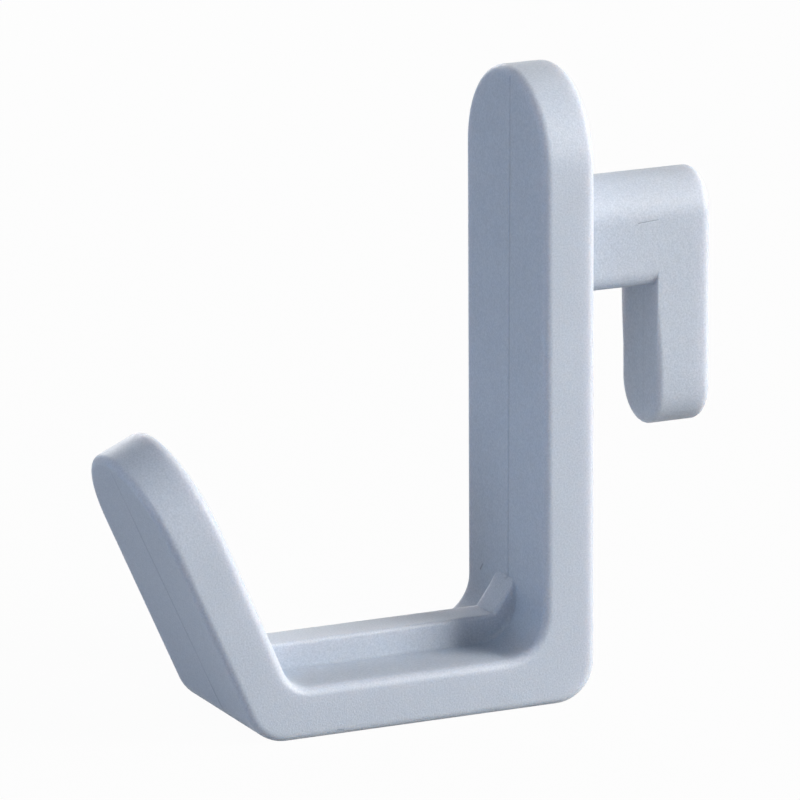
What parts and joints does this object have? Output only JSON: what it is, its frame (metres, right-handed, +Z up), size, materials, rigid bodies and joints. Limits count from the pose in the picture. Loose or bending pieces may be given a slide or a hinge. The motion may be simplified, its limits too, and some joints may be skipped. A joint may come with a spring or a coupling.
{
  "type": "pegboard hook",
  "caption": "Pale grey-blue moulded plastic hook for a slotted pegboard, with a ribbed cradle, a leaning front arm and a peg that drops behind the board.",
  "frame": {"origin": "middle of the peg's neck, on the flat face that lies against the board", "axes": "+Z up, +Y into the board, X across the hook's width"},
  "size_m": [0.01, 0.0352, 0.0348],
  "materials": {
    "hook_plastic": "pale grey-blue moulded plastic with a fine spark-eroded texture, a little light passing through its edges"
  },
  "bodies": {
    "root": {"hook": "hook_plastic"}
  },
  "joints": []
}
